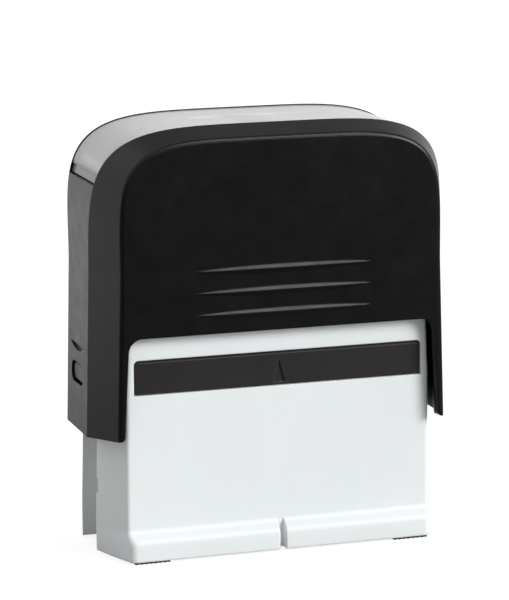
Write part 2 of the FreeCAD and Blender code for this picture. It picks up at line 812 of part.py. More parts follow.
def die_layer(label, above_axle, thickness):
    """One flat layer of the stack on the carrier plate."""
    body = new_body(label)
    sketch = new_sketch(body, "XY_Plane", label + "_plan", size("axle_rest") + above_axle)
    long = size("die_half_length")
    deep = size("die_half_depth")
    rectangle(sketch, -long, long, -deep, deep)
    pad(body, sketch, thickness, label + "_pull")
    return body


def text_plate():
    """The rubber plate: a thin web with a raised frame and plain bars in place of lines of text."""
    web_low = size("die_face") - size("relief_height") - size("plate_web")
    web = die_layer("plate_web_layer", web_low, size("plate_web"))
    face = size("axle_rest") + size("die_face")
    root = face - size("relief_height")
    long = size("die_half_length") - size("print_margin")
    deep = size("die_half_depth") - size("print_margin")
    line = size("print_line")
    outer = block("frame_outer", -long, long, -deep, deep, root, face)
    hole = block(
        "frame_inner", -long + line, long - line, -deep + line, deep - line, root - SLACK, face + SLACK
    )
    pieces = [web, cut("print_frame", outer, [hole])]
    half = size("bar_height") * 0.5
    for number, share in enumerate(BAR_SHARES):
        middle = size("bar_pitch") * ((len(BAR_SHARES) - 1) / 2 - number)
        reach = size("die_half_length") * share
        pieces.append(block("print_bar", -reach, reach, middle - half, middle + half, root, face))
    plate = fused("text_plate", pieces)
    plate.Label = "text_plate"
    return plate


# ---------------------------------------------------------------- yoke and spring


def axle_yoke():
    """The bracket inside the cap: a crossbar over the spring and two arms that carry the rotor."""
    body = new_body("yoke_form")
    inner = size("arm_inner")
    outer = size("arm_outer")
    bend = size("arm_bend")
    top = size("bar_high")
    under = size("bar_low")
    big = top - bend
    small = under - bend
    arch = new_sketch(body, "XZ_Plane", "yoke_outline")
    outline(
        arch,
        [
            (inner, size("arm_low")),
            (outer, size("arm_low")),
            (outer, bend, big),
            (outer - big, top),
            (-outer + big, top, big),
            (-outer, bend),
            (-outer, size("arm_low")),
            (-inner, size("arm_low")),
            (-inner, bend, -small),
            (-inner + small, under),
            (inner - small, under, -small),
            (inner, bend),
        ],
    )
    pad(body, arch, 2 * size("arm_half_width"), "yoke_pull", both_ways=True)
    spigot = post("bar_spigot", size("spigot_radius"), under - size("spigot_upper"), under)
    level = size("button_level")
    half = size("arm_half_width") + SLACK
    bolt_y = size("bolt_half_width") + size("bolt_gap")
    bolt_z = size("bolt_half_height") + size("bolt_gap")
    flange_z = size("button_half_height") + size("button_flange_lip") + size("pocket_fit")
    bearing = size("axle_radius") + size("axle_fit")
    near = inner - SLACK
    far = outer + SLACK
    floor = outer - size("pocket_depth")
    bolt_levels = (level - bolt_z, level + bolt_z)
    flange_levels = (level - flange_z, level + flange_z)
    tools = []
    for side in (-1, 1):
        offset = side * size("boss_offset")
        tools += [
            side_rod("bearing_hole", side, bearing, near, far, size("axle_rest")),
            side_block("bolt_window", side, near, far, -bolt_y, bolt_y, *bolt_levels),
            side_block("flange_pocket", side, floor, far, -half, half, *flange_levels),
            post("stake_hole", size("stake_radius"), under - SLACK, top + SLACK, offset),
        ]
    return cut("axle_yoke", fused("yoke_solid", [body, spigot]), tools)


def spring_point(turn):
    """The middle of the wire after so many turns: one closed coil at each end, even ones between."""
    radius = read("spring_radius")
    wire = read("wire_radius")
    turns = read("spring_turns")
    gap = read("spring_coil_gap")
    closed_pitch = 2 * wire + gap
    low = read("deck_top") + wire + gap
    high = read("bar_low") - wire - gap
    open_pitch = (high - low - 2 * closed_pitch) / (turns - 2)
    if turn <= 1:
        height = low + closed_pitch * turn
    elif turn <= turns - 1:
        height = low + closed_pitch + open_pitch * (turn - 1)
    else:
        height = high - closed_pitch * (turns - turn)
    angle = 2 * math.pi * turn
    return Vector(radius * math.cos(angle), radius * math.sin(angle), height)


def main_spring():
    """The coil spring that lifts the cap, standing on the deck under the crossbar."""
    points_per_turn = 12
    pieces_per_turn = 4
    turns = int(read("spring_turns"))
    points = [spring_point(number / points_per_turn) for number in range(turns * points_per_turn + 1)]
    curve = Part.BSplineCurve()
    curve.interpolate(points)
    start = curve.FirstParameter
    step = (curve.LastParameter - start) / (turns * pieces_per_turn)
    path = Part.Wire(
        [
            curve.toShape(start + number * step, start + (number + 1) * step)
            for number in range(turns * pieces_per_turn)
        ]
    )
    ring = Part.Wire([Part.makeCircle(read("wire_radius"), points[0], curve.tangent(start)[0])])
    spring = formed("main_spring", path.makePipeShell([ring], True, True))
    spring.Label = "main_spring"
    return spring


# ---------------------------------------------------------------- cap


def superellipse(half, height, power, level, angle, inwards=0.0):
    """A point (x, z) of the crown, seen from the shoulder level at the angle, moved inwards."""
    across = math.cos(angle)
    up = math.sin(angle)
    reach = (abs(across) ** power + up**power) ** (-1 / power)
    x = half * reach * across
    rise = height * reach * up
    slope_x = math.copysign((abs(x) / half) ** (power - 1) / half, x)
    slope_z = (rise / height) ** (power - 1) / height
    steep = math.hypot(slope_x, slope_z)
    return x - inwards * slope_x / steep, level + rise - inwards * slope_z / steep


def crown_curve(half, height, power, depth_at, inwards=0.0):
    """The crown from the right shoulder over the top to the left one."""
    steps = 32
    level = read("shoulder_level")
    angles = [math.pi * step / steps for step in range(steps + 1)]
    points = []
    for angle in angles:
        x, z = superellipse(half, height, power, level, angle, inwards)
        points.append(Vector(x, depth_at(z), z))
    curve = Part.BSplineCurve()
    curve.interpolate(Points=points, Parameters=angles)
    return curve.toShape(), points


def leg_wire(half_low, half_high, height, power, low, depth_at):
    """The cap's outline as a closed wire: right leg, crown, left leg and the line between the legs."""
    crown, points = crown_curve(half_high, height, power, depth_at)
    right_foot = Vector(half_low, depth_at(low), low)
    left_foot = Vector(-half_low, depth_at(low), low)
    right_leg = Part.makeLine(right_foot, points[0])
    left_leg = Part.makeLine(points[-1], left_foot)
    return Part.Wire([right_leg, crown, left_leg, Part.makeLine(left_foot, right_foot)])


def ridge_depth(z):
    """How far from the middle plane the ridge between side band and face band runs."""
    low = read("ridge_depth_low")
    climb = max(0.0, (z - read("shoulder_level")) / read("ridge_crown"))
    return low + (read("ridge_depth_high") - low) * climb ** read("ridge_flare")


def cap_form(ridge, face, ridge_low, face_low, depth):
    """A solid with a flat face at each end of its depth and a raised ridge near its middle. ridge and
    face are (half width low, half width at the shoulder, crown height, exponent)."""
    sections = [
        leg_wire(*face, face_low, lambda z: -depth),
        leg_wire(*ridge, ridge_low, lambda z: -ridge_depth(z)),
        leg_wire(*ridge, ridge_low, ridge_depth),
        leg_wire(*face, face_low, lambda z: depth),
    ]
    return Part.makeLoft(sections, True, True)


def cap_outside():
    """The outside of the cap, with its front and back faces rounded off."""
    ridge = [read(word) for word in ("ridge_half_low", "ridge_half_high", "ridge_crown", "ridge_power")]
    face = [read(word) for word in ("face_half_low", "face_half_high", "face_crown", "face_power")]
    depth = read("cap_half_depth")
    low = read("leg_front_low")
    form = cap_form(ridge, face, read("cap_low"), low, depth)
    rims = []
    for edge in form.Edges:
        middle = edge.valueAt((edge.FirstParameter + edge.LastParameter) / 2)
        if abs(abs(middle.y) - depth) < NEAR and middle.z > low + NEAR:
            rims.append(edge)
    return form.makeFillet(read("face_round"), rims)


def cap_cavity():
    """The inside of the cap, run on below the legs."""
    wall = read("cap_wall")
    side_wall = read("face_side_wall")
    ridge = [
        read("ridge_half_low") - wall,
        read("ridge_half_high") - wall,
        read("cavity_crown"),
        read("cavity_power"),
    ]
    face = [
        read("face_half_low") - side_wall,
        read("face_half_high") - side_wall,
        read("cavity_face_crown"),
        read("cavity_face_power"),
    ]
    below = read("cap_low") - SLACK
    return cap_form(ridge, face, below, below, read("cap_half_depth") - wall)


def index_space(outer, inner, low, gap):
    """The band over the crown between two depths under its surface, down to the height called low,
    inside the two ridges with the gap to spare."""
    half = read("ridge_half_high")
    height = read("ridge_crown")
    power = read("ridge_power")
    deep = read("cap_half_depth")
    shells = []
    for inwards in (outer, inner):
        crown, points = crown_curve(half, height, power, lambda z: -deep, inwards)
        closing = Part.makeLine(points[-1], points[0])
        shells.append(Part.Face(Part.Wire([crown, closing])).extrude(Vector(0, 2 * deep, 0)))
    band = shells[0].cut(shells[1])
    high = read("shoulder_level") + height + SLACK
    steps = 6
    levels = [low + (high - low) * step / steps for step in range(steps + 1)]
    edge_of_wall = -half - SLACK
    sides = []
    for hand in (-1, 1):
        curve = Part.BSplineCurve()
        curve.interpolate([Vector(edge_of_wall, hand * (ridge_depth(z) - gap), z) for z in levels])
        sides.append(curve)
    left, right = sides
    ends = [
        Part.makeLine(left.StartPoint, right.StartPoint),
        Part.makeLine(left.EndPoint, right.EndPoint),
    ]
    edges = Part.__sortEdges__([left.toShape(), right.toShape()] + ends)
    region = Part.Face(Part.Wire(edges)).extrude(Vector(2 * (half + SLACK), 0, 0))
    return band.common(region)


def grip_rib(crest, end):
    """A slender rib on the front (end -1) or back (end 1) face, with its crest at a height: an upper
    and a lower slope that part from the crest and taper to a point at both ends."""
    half = read("grip_half")
    root = end * (read("cap_half_depth") - read("grip_root"))
    out = end * (read("grip_out") + read("grip_root"))
    stations = 12
    sections = [Part.Vertex(Vector(-half, root, crest))]
    for station in range(1, stations):
        angle = math.pi * station / stations
        x = -half * math.cos(angle)
        share = math.sin(angle)
        upper = Vector(x, root, crest + read("grip_rise") * share)
        edge = Vector(x, root + out * share, crest)
        lower = Vector(x, root, crest - read("grip_fall") * share)
        sections.append(Part.makePolygon([upper, edge, lower, upper]))
    sections.append(Part.Vertex(Vector(half, root, crest)))
    return Part.makeLoft(sections, True, True)


def finger_recess(side):
    """The half-moon recess over a lock button, for the fingernail that presses it."""
    half = read("finger_half")
    high = read("finger_high")
    x = side * (read("ridge_half_low") + SLACK)
    lowest = Vector(x, 0, high - read("finger_sag"))
    arc = Part.Arc(Vector(x, -half, high), lowest, Vector(x, half, high)).toShape()
    flat = Part.makeLine(Vector(x, half, high), Vector(x, -half, high))
    moon = Part.Face(Part.Wire([arc, flat]))
    return moon.extrude(Vector(-side * (SLACK + read("finger_depth")), 0, 0))


def cap_cutout():
    """The opening in the cap's front and back that shows the base."""
    body = new_body("cap_cutout")
    top = size("cutout_top")
    high = size("cutout_half_high")
    low = size("cutout_half_low")
    corner = size("cutout_corner")
    nose = size("leg_nose")
    front_low = size("leg_front_low")
    below = size("cap_low") - SLACK
    sketch = new_sketch(body, "XZ_Plane", "cutout_outline")
    outline(
        sketch,
        [
            (-low - nose, below),
            (low + nose, below),
            (low + nose, front_low, -nose),
            (low, front_low + nose),
            (high, top - corner, corner),
            (high - corner, top),
            (-high + corner, top, corner),
            (-high, top - corner),
            (-low, front_low + nose, -nose),
            (-low - nose, front_low),
        ],
    )
    pad(body, sketch, 2 * (size("cap_half_depth") + SLACK), "cutout_pull", both_ways=True)
    keep = size("nose_reach")
    wide = low + nose + SLACK
    spare = block("cutout_spare", -wide, wide, -keep, keep, below - SLACK, top + SLACK)
    return cut("cutout_walls", body, [spare])


def button_opening(name, side, near, far, grow=0):
    """A rounded rectangle through the cap's side, where a lock button sits."""
    body = new_body(name)
    half = size("button_half_width") + grow
    rise = size("button_half_height") + grow
    corner = size("button_corner")
    level = size("button_level")
    sketch = new_sketch(body, "YZ_Plane", name + "_outline", near if side > 0 else -far)
    outline(
        sketch,
        [
            (-half + corner, level - rise),
            (half - corner, level - rise, corner),
            (half, level - rise + corner),
            (half, level + rise - corner, corner),
            (half - corner, level + rise),
            (-half + corner, level + rise, corner),
            (-half, level + rise - corner),
            (-half, level - rise + corner, corner),
        ],
    )
    feature = pad(body, sketch, far - near, name + "_pull")
    return body, feature


def cap_shell():
    """The black cap: a shell with open legs, a recess for the index window, and two bosses."""
    outside = formed("cap_outside", cap_outside())
    tools = [formed("cap_cavity", cap_cavity()), cap_cutout()]
    recess_low = read("index_low") - read("seam")
    tools.append(formed("index_recess", index_space(-SLACK, read("index_recess"), recess_low, 0.0)))
    near = size("bulge_half_width")
    far = size("button_face") + SLACK
    for side, word in ((-1, "left"), (1, "right")):
        tools.append(formed("finger_recess", finger_recess(side)))
        hole, _ = button_opening(f"button_hole_{word}", side, near, far)
        tools.append(hole)
    pieces = [cut("cap_hollow", outside, tools)]
    for end in (-1, 1):
        for number in range(GRIP_COUNT):
            crest = read("grip_low") + number * read("grip_pitch")
            pieces.append(formed("grip_rib", grip_rib(crest, end)))
    top = size("shoulder_level") + size("cavity_crown") + size("boss_bite")
    for side in (-1, 1):
        offset = side * size("boss_offset")
        pieces.append(post("boss", size("boss_radius"), size("bar_high"), top, offset))
        pieces.append(post("stake", size("stake_radius"), size("bar_low"), top, offset))
    cap = fused("cap_shell", pieces)
    cap.Label = "cap_shell"
    return cap


def index_window():
    """The clear cover over the crown, with a finger step at each end."""
    sink = read("index_sink")
    low = read("index_low")
    seam = read("seam")
    cover = formed("window_form", index_space(sink, sink + read("index_thickness"), low, seam))
    step = index_space(-SLACK, sink + read("index_step"), low, -SLACK)
    half = read("ridge_half_high") + SLACK
    slab = Part.makeBox(2 * half, 2 * half, low + read("index_step_height"), Vector(-half, -half, 0))
    return cut("index_window", cover, [formed("finger_step", step.common(slab))])


def index_card():
    """The paper card under the window, a little shorter than it."""
    outer = read("index_sink") + read("index_thickness")
    inner = outer + read("card_thickness")
    low = read("index_low") + read("card_end_gap")
    card = formed("index_card", index_space(outer, inner, low, read("seam")))
    card.Label = "index_card"
    return card


def lock_button(label, side):
    """A push button in the cap's side, with a flange behind the wall and a bolt for the base."""
    level = size("button_level")
    bolt_end = size("bolt_end")
    start = size("button_flange_start")
    end = size("button_flange_end")
    face = size("button_face")
    head, pulled = button_opening(label + "_head", side, end, face, grow=-size("button_gap"))

    def is_face_rim(edge, middle):
        return abs(abs(middle.x) - read("button_face")) < TINY

    round_edges(head, pulled, size("button_bevel"), is_face_rim, label + "_bevel", kind="Chamfer")
    half_y = size("arm_half_width")
    half_z = size("button_half_height") + size("button_flange_lip")
    flange = side_block(
        label + "_flange", side, start, end, -half_y, half_y, level - half_z, level + half_z
    )
    half_y = size("bolt_half_width")
    half_z = size("bolt_half_height")
    bolt = side_block(
        label + "_bolt", side, bolt_end, start, -half_y, half_y, level - half_z, level + half_z
    )
    button = fused(label, [head, flange, bolt])
    button.Label = label
    return button


# ---------------------------------------------------------------- the whole stamp


def build():
    film_low = carrier_top()
    cushion_low = film_low + size("film_height")
    parts = [
        base_housing(),
        ink_tray(),
        ink_pad(),
        ink_pad_cover(),
        main_spring(),
        cap_shell(),
        axle_yoke(),
        index_window(),
        index_card(),
        lock_button("lock_button_left", -1),
        lock_button("lock_button_right", 1),
        rotor_carrier(),
        axle_pin("axle_pin_left", -1),
        axle_pin("axle_pin_right", 1),
        die_layer("adhesive_film", film_low, size("film_height")),
        die_layer("die_cushion", cushion_low, size("cushion_height")),
        text_plate(),
    ]
    for side, word in ((-1, "left"), (1, "right")):
        for end in ("front", "back"):
            parts.append(foot_pad(f"foot_pad_{end}_{word}", side, end))
    document.recompute()
    return parts


def write(parts):
    for feature in document.Objects:
        if "Invalid" in feature.State or "Error" in feature.State:
            raise ValueError(f"{feature.Label} is {feature.State}")
    os.makedirs("parts", exist_ok=True)
    for part in parts:
        if part.Shape.isNull() or not part.Shape.isValid():
            raise ValueError(f"{part.Label} has no valid shape")
        part.Shape.exportStep(f"parts/{part.Label}.step")
        print(part.Label, len(part.Shape.Solids), round(part.Shape.Volume, 1))


write(build())
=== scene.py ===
import math

import bmesh
import bpy
from mathutils import Matrix, Vector, noise


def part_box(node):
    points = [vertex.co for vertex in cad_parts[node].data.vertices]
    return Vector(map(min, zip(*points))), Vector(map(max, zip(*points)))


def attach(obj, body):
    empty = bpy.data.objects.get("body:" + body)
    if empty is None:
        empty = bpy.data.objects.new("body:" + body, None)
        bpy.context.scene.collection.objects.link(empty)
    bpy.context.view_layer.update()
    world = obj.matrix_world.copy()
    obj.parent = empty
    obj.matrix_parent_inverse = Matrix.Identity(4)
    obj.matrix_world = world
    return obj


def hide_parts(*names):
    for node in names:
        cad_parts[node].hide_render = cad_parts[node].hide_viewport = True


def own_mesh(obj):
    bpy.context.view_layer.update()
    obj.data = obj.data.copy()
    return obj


# The looks of a self-inking text stamp. Everything is in metres, in the frame of the CAD model:
# +Z up, +X to the right, -Y towards the front, origin on the paper under the middle.

MM = 0.001

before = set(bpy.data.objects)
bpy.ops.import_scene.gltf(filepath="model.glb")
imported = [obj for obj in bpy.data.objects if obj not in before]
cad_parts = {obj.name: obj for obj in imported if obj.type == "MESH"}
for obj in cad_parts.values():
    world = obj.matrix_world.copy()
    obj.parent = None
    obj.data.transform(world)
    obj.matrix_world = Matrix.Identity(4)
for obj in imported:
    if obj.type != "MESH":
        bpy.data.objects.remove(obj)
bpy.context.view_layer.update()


# ---------------------------------------------------------------- materials

def linear(code):
    """An sRGB colour code such as e4e9e9 as linear RGBA."""
    channels = [int(code[i:i + 2], 16) / 255 for i in (0, 2, 4)]
    return tuple(c / 12.92 if c <= 0.04045 else ((c + 0.055) / 1.055) ** 2.4 for c in channels) + (1.0,)


class Finish:
    """A material whose colour, roughness and relief come from nodes, laid out in metres in the frame."""

    def __init__(self, name, **fixed):
        self.material = bpy.data.materials.new(name)
        self.material.use_nodes = True
        self.tree = self.material.node_tree
        self.surface = self.tree.nodes["Principled BSDF"]
        self.place = self.add("ShaderNodeTexCoord").outputs["Object"]
        for word, value in fixed.items():
            self.set(word.replace("_", " "), value)

    def add(self, kind, **settings):
        made = self.tree.nodes.new(kind)
        for word, value in settings.items():
            setattr(made, word, value)
        return made

    def plug(self, value, socket):
        """Links value to socket if it is an output, and sets it otherwise."""
        if isinstance(value, bpy.types.NodeSocket):
            self.tree.links.new(value, socket)
        elif socket.type == "RGBA" and isinstance(value, str):
            socket.default_value = linear(value)
        else:
            socket.default_value = value

    def set(self, word, value):
        self.plug(value, self.surface.inputs[word])

    def stretched(self, stretch):
        """The place in the frame, scaled by stretch along each axis."""
        mapping = self.add("ShaderNodeMapping")
        self.plug(self.place, mapping.inputs["Vector"])
        mapping.inputs["Scale"].default_value = stretch
        return mapping.outputs["Vector"]

    def noise(self, scale, detail=2.0, roughness=0.5, stretch=None, distortion=0.0):
        made = self.add("ShaderNodeTexNoise")
        self.plug(self.place if stretch is None else self.stretched(stretch), made.inputs["Vector"])
        made.inputs["Scale"].default_value = scale
        made.inputs["Detail"].default_value = detail
        made.inputs["Roughness"].default_value = roughness
        made.inputs["Distortion"].default_value = distortion
        return made.outputs["Fac"]

    def cells(self, scale):
        """Distance to the nearest of scattered points."""
        made = self.add("ShaderNodeTexVoronoi")
        self.plug(self.place, made.inputs["Vector"])
        made.inputs["Scale"].default_value = scale
        return made.outputs["Distance"]

    def wave(self, scale, direction):
        """Even bands across a direction."""
        made = self.add("ShaderNodeTexWave", wave_type="BANDS", bands_direction=direction, wave_profile="SIN")
        self.plug(self.place, made.inputs["Vector"])
        made.inputs["Scale"].default_value = scale
        return made.outputs["Fac"]

    def sum(self, a, b, operation="ADD"):
        made = self.add("ShaderNodeMath", operation=operation)
        self.plug(a, made.inputs[0])
        self.plug(b, made.inputs[1])
        return made.outputs[0]

    def spread(self, value, low, high, start=0.0, end=1.0):
        """value's span from start to end, laid over low to high."""
        made = self.add("ShaderNodeMapRange")
        for word, amount in (("Value", value), ("From Min", start), ("From Max", end),
                             ("To Min", low), ("To Max", high)):
            self.plug(amount, made.inputs[word])
        return made.outputs["Result"]

    def mix(self, share, a, b, blend="MIX"):
        made = self.add("ShaderNodeMix", data_type="RGBA", blend_type=blend)
        self.plug(share, made.inputs[0])
        self.plug(a, made.inputs[6])
        self.plug(b, made.inputs[7])
        return made.outputs[2]

    def axis(self, letter):
        """One coordinate in the frame, in metres."""
        made = self.add("ShaderNodeSeparateXYZ")
        self.plug(self.place, made.inputs[0])
        return made.outputs[letter]

    def softened(self, radius):
        """The normal with edges rounded to radius."""
        made = self.add("ShaderNodeBevel", samples=6)
        made.inputs["Radius"].default_value = radius
        return made.outputs["Normal"]

    def edges(self, radius):
        """Near 1 on edges and 0 on flats, for wear along edges and painted highlights on them."""
        geometry = self.add("ShaderNodeNewGeometry")
        made = self.add("ShaderNodeVectorMath", operation="DOT_PRODUCT")
        self.plug(self.softened(radius), made.inputs[0])
        self.plug(geometry.outputs["Normal"], made.inputs[1])
        return self.spread(made.outputs["Value"], 1.0, 0.0, 0.86, 0.995)

    def relief(self, height, depth, normal=None):
        """Bump of the given depth in metres over normal."""
        made = self.add("ShaderNodeBump")
        made.inputs["Distance"].default_value = depth
        self.plug(height, made.inputs["Height"])
        if normal is not None:
            self.plug(normal, made.inputs["Normal"])
        return made.outputs["Normal"]


def moulded(name, colour, tint, rough, grain, grain_depth, edge, worn_and_highlit, wear_and_highlight_share, **fixed):
    """Moulded plastic: spark-eroded grain, faint flow shading, edges lightened partly by wear and partly as
    painted highlights, and fine dust specks.
    """
    f = Finish(name, **fixed)
    flow = f.noise(35.0, 3.0, 0.55, (1.0, 1.0, 0.35), 0.6)
    fine = f.noise(grain, 3.0, 0.6)
    speck = f.spread(f.cells(grain * 0.12), 1.0, 0.0, 0.02, 0.06)
    # Edge mask: edges get a lighter colour, part real wear and part painted highlight along the edges.
    rubbed_and_highlit = f.sum(f.edges(edge * 1.4), wear_and_highlight_share, "MULTIPLY")
    body = f.mix(f.spread(flow, 0.0, 1.0, 0.3, 0.7), colour, tint)
    body = f.mix(f.sum(rubbed_and_highlit, f.spread(fine, 0.2, 1.0), "MULTIPLY"), body, worn_and_highlit)
    f.set("Base Color", body)
    wear = f.noise(240.0, 4.0, 0.65)
    roughness = f.sum(f.spread(wear, rough - 0.05, rough + 0.06, 0.25, 0.75), f.spread(fine, -0.03, 0.03))
    f.set("Roughness", f.sum(roughness, f.sum(rubbed_and_highlit, 0.12, "MULTIPLY"), "SUBTRACT"))
    height = f.sum(fine, f.sum(speck, 0.25, "MULTIPLY"))
    f.set("Normal", f.relief(height, grain_depth, f.softened(edge)))
    return f.material


def clear_plastic(name, end_level):
    """Clear moulded cover, a little hazed, with fine wipe scratches, and thicker end strips painted grey as
    painted shade for the dark recess floor seen through them.
    """
    f = Finish(name, IOR=1.5, Specular_IOR_Level=0.5)
    haze = f.noise(90.0, 3.0, 0.6)
    scratches = f.noise(900.0, 2.0, 0.7, (1.0, 0.04, 0.2))
    # Painted shade: below end_level the cover is painted grey and made less clear, for the dark recess floor
    # seen through its end, where the card stops.
    strip = f.spread(f.axis("Z"), 1.0, 0.0, end_level - 0.08 * MM, end_level + 0.08 * MM)
    f.set("Base Color", f.mix(f.sum(strip, 0.85, "MULTIPLY"), f.mix(haze, "ececef", "f6f6f8"), "5f5e61"))
    f.set("Roughness", f.spread(haze, 0.10, 0.20, 0.3, 0.7))
    f.set("Normal", f.relief(f.sum(scratches, haze), 0.004 * MM, f.softened(0.25 * MM)))
    output = f.tree.nodes["Material Output"]
    see = f.add("ShaderNodeBsdfTransparent")
    see.inputs["Color"].default_value = linear("f3f3f6")
    facing = f.add("ShaderNodeLayerWeight")
    facing.inputs["Blend"].default_value = 0.35
    share = f.sum(f.spread(facing.outputs["Facing"], 0.30, 0.80), f.sum(strip, 0.35, "MULTIPLY"))
    both = f.add("ShaderNodeMixShader")
    f.plug(share, both.inputs[0])
    f.plug(see.outputs[0], both.inputs[1])
    f.plug(f.surface.outputs[0], both.inputs[2])
    f.plug(both.outputs[0], output.inputs["Surface"])
    return f.material


def paper(name):
    """Uncoated card: fibres, slight mottling."""
    f = Finish(name)
    fibre = f.noise(2600.0, 4.0, 0.7, (1.0, 0.25, 0.25))
    mottle = f.noise(220.0, 3.0, 0.6)
    f.set("Base Color", f.mix(f.sum(fibre, mottle, "MULTIPLY"), "eceae6", "fbfaf7"))
    f.set("Roughness", f.spread(mottle, 0.78, 0.92))
    f.set("Normal", f.relief(fibre, 0.02 * MM))
    return f.material


def drawn_steel(name):
    """Spring wire: drawing lines, light oil film."""
    f = Finish(name, Metallic=1.0)
    lines = f.noise(5200.0, 2.0, 0.6, (1.0, 1.0, 6.0))
    film = f.noise(320.0, 3.0, 0.6)
    f.set("Base Color", f.mix(film, "8d9094", "b4b6b8"))
    f.set("Roughness", f.sum(f.spread(film, 0.22, 0.38), f.spread(lines, -0.04, 0.04)))
    f.set("Normal", f.relief(lines, 0.004 * MM))
    return f.material


def rubber(name, colour, tint, rough, grain=2400.0):
    f = Finish(name)
    grit = f.noise(grain, 4.0, 0.7)
    dust = f.noise(160.0, 3.0, 0.6)
    f.set("Base Color", f.mix(f.spread(dust, 0.0, 1.0, 0.35, 0.8), colour, tint))
    f.set("Roughness", f.spread(grit, rough - 0.08, rough + 0.08))
    f.set("Normal", f.relief(grit, 0.03 * MM, f.softened(0.12 * MM)))
    return f.material


def foam(name, colour, tint, cell):
    """Open-cell foam: rounded pores of a given size in metres."""
    f = Finish(name, Subsurface_Weight=0.08)
    f.surface.inputs["Subsurface Radius"].default_value = (MM, MM, MM)
    pores = f.cells(1.0 / cell)
    wide = f.noise(300.0, 3.0, 0.6)
    # Painted shade: the foam is painted darker in the pits of the cells than on the cell walls.
    f.set("Base Color", f.mix(f.spread(pores, 0.0, 1.0, 0.1, 0.6), tint, colour))
    f.set("Roughness", f.spread(wide, 0.75, 0.95))
    f.set("Normal", f.relief(pores, cell * 0.4))
    return f.material


def inked_cloth(name, pitch):
    """Plain-weave cloth soaked with ink: over and under threads at a given pitch, wet patches."""
    f = Finish(name, Coat_Weight=0.25, Coat_Roughness=0.25)
    turns = 1.0 / (pitch * 20.0)
    across = f.wave(turns, "X")
    along = f.wave(turns, "Y")
    weave = f.sum(across, along, "MULTIPLY")
    fuzz = f.noise(5000.0, 3.0, 0.7)
    wet = f.noise(130.0, 3.0, 0.6)
    colour = f.mix(f.spread(wet, 0.0, 1.0, 0.35, 0.65), "12131f", "1c1f33")
    # Painted light and shade: the raised thread crossings are painted lighter and the hollows of the weave
    # darker.
    f.set("Base Color", f.mix(f.spread(weave, 0.0, 0.5), colour, "2b3050"))
    f.set("Roughness", f.spread(wet, 0.35, 0.65))
    f.set("Normal", f.relief(f.sum(weave, f.sum(fuzz, 0.2, "MULTIPLY")), 0.06 * MM))
    return f.material


def film(name):
    f = Finish(name)
    streaks = f.noise(700.0, 3.0, 0.6, (1.0, 0.2, 1.0))
    f.set("Base Color", f.mix(streaks, "c9b98c", "dccfa6"))
    f.set("Roughness", f.spread(streaks, 0.18, 0.4))
    f.set("Normal", f.relief(streaks, 0.01 * MM))
    return f.material


def die_rubber(name, ink_level):
    """Engraved rubber: rough burnt floor, ink on what stands above ink_level."""
    f = Finish(name)
    burn = f.noise(3000.0, 4.0, 0.7, (1.0, 0.3, 1.0))
    wide = f.noise(200.0, 3.0, 0.6)
    body = f.mix(wide, "8d3b2c", "a4503c")
    height = f.axis("Z")
    inked = f.spread(height, 0.0, 1.0, ink_level - 0.12 * MM, ink_level + 0.12 * MM)
    f.set("Base Color", f.mix(f.sum(inked, f.spread(wide, 0.85, 1.0), "MULTIPLY"), body, "171a2c"))
    f.set("Roughness", f.sum(f.spread(burn, 0.55, 0.8), f.sum(inked, 0.25, "MULTIPLY"), "SUBTRACT"))
    f.set("Normal", f.relief(burn, 0.03 * MM, f.softened(0.1 * MM)))
    return f.material


TEXT_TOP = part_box("text_plate")[1].z
CARD_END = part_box("index_card")[0].z + 0.3 * MM
INK_DEPTH = 0.35 * MM

